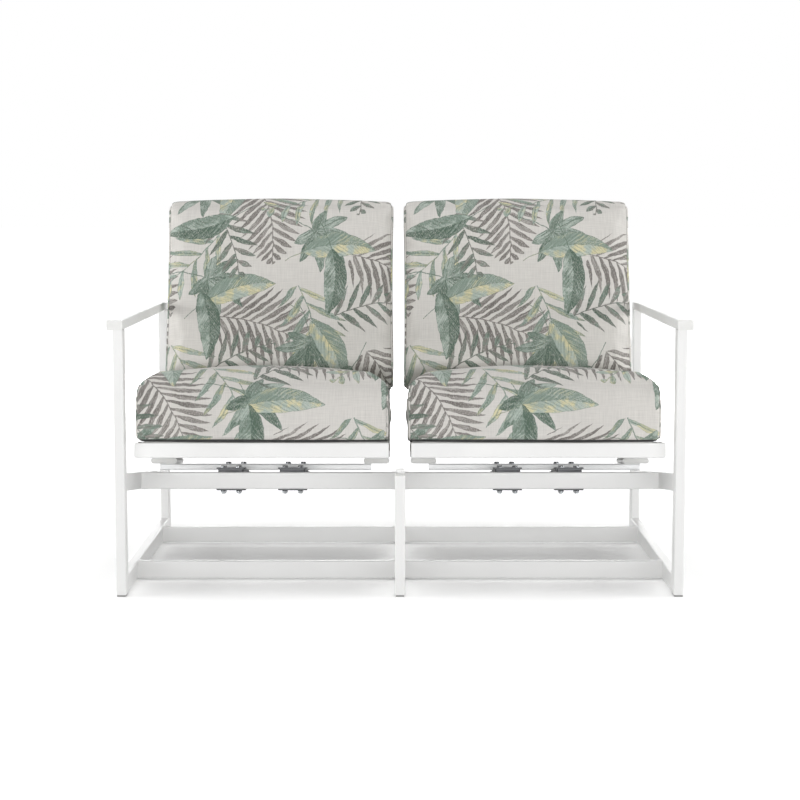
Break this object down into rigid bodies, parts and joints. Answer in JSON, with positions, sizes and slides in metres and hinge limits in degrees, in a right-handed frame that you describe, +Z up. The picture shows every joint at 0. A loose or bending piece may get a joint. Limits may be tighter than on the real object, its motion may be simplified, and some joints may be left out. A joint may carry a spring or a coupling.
{
  "type": "rocker bench",
  "caption": "Porch loveseat: a white tube frame with fixed arms carries cushioned seats side by side, each rocking by itself on leaf springs clamped to a cross rail.",
  "frame": {"origin": "on the floor at the middle of the whole", "axes": "+X to the right as seen from the front, +Y to the back, +Z up"},
  "size_m": [1.41, 0.9414, 0.9618],
  "materials": {
    "white_frame": "white powder coat on aluminium tube",
    "grey_bar": "bare satin aluminium tube",
    "spring_steel": "blackened spring steel",
    "zinc_steel": "zinc-plated steel",
    "white_plastic": "moulded matte plastic",
    "grey_plastic": "moulded matte plastic",
    "white_strap": "vinyl webbing strap",
    "cushion_fabric": "woven print over foam"
  },
  "bodies": {
    "base": {"centre_floor_rail": "white_frame", "centre_front_leg": "white_frame", "centre_mid_rail": "white_frame", "centre_rear_leg": "white_frame", "clamp_bolts": "zinc_steel", "clamp_plates": "spring_steel", "foot_glides": "grey_plastic", "helper_leaves": "spring_steel", "left_arm": "white_frame", "left_floor_rail": "white_frame", "left_front_leg": "white_frame", "left_front_stretcher": "white_frame", "left_leaf_springs": "spring_steel", "left_mid_rail": "white_frame", "left_rear_leg": "white_frame", "left_rear_stretcher": "white_frame", "left_spring_rail": "white_frame", "rail_bolts": "zinc_steel", "rail_end_plugs": "white_frame", "right_arm": "white_frame", "right_floor_rail": "white_frame", "right_front_leg": "white_frame", "right_front_stretcher": "white_frame", "right_leaf_springs": "spring_steel", "right_mid_rail": "white_frame", "right_rear_leg": "white_frame", "right_rear_stretcher": "white_frame", "right_spring_rail": "white_frame", "tube_end_caps": "white_plastic"},
    "left_seat": {"left_back_cushion": "cushion_fabric", "left_back_straps": "white_strap", "left_back_top_rail": "white_frame", "left_back_uprights": "white_frame", "left_bar_bolts": "zinc_steel", "left_bar_keepers": "spring_steel", "left_seat_brackets": "white_frame", "left_seat_cushion": "cushion_fabric", "left_seat_front_rail": "white_frame", "left_seat_left_rail": "white_frame", "left_seat_plugs": "white_plastic", "left_seat_rear_rail": "white_frame", "left_seat_right_rail": "white_frame", "left_seat_straps": "white_strap", "left_spring_bar": "grey_bar"},
    "right_seat": {"right_back_cushion": "cushion_fabric", "right_back_straps": "white_strap", "right_back_top_rail": "white_frame", "right_back_uprights": "white_frame", "right_bar_bolts": "zinc_steel", "right_bar_keepers": "spring_steel", "right_seat_brackets": "white_frame", "right_seat_cushion": "cushion_fabric", "right_seat_front_rail": "white_frame", "right_seat_left_rail": "white_frame", "right_seat_plugs": "white_plastic", "right_seat_rear_rail": "white_frame", "right_seat_right_rail": "white_frame", "right_seat_straps": "white_strap", "right_spring_bar": "grey_bar"}
  },
  "joints": [
    {"name": "left_seat_rock", "type": "hinge", "parent": "base", "child": "left_seat", "pos_m": [0, -0.07014, 0.25281], "axis": [1, 0, 0], "range_deg": [-6, 6], "stiffness_Nm_per_rad": 1436, "springref_deg": 0.8, "deforming": ["left_leaf_springs"]},
    {"name": "right_seat_rock", "type": "hinge", "parent": "base", "child": "right_seat", "pos_m": [0, -0.07014, 0.25281], "axis": [1, 0, 0], "range_deg": [-6, 6], "stiffness_Nm_per_rad": 1436, "springref_deg": 0.8, "deforming": ["right_leaf_springs"]}
  ]
}
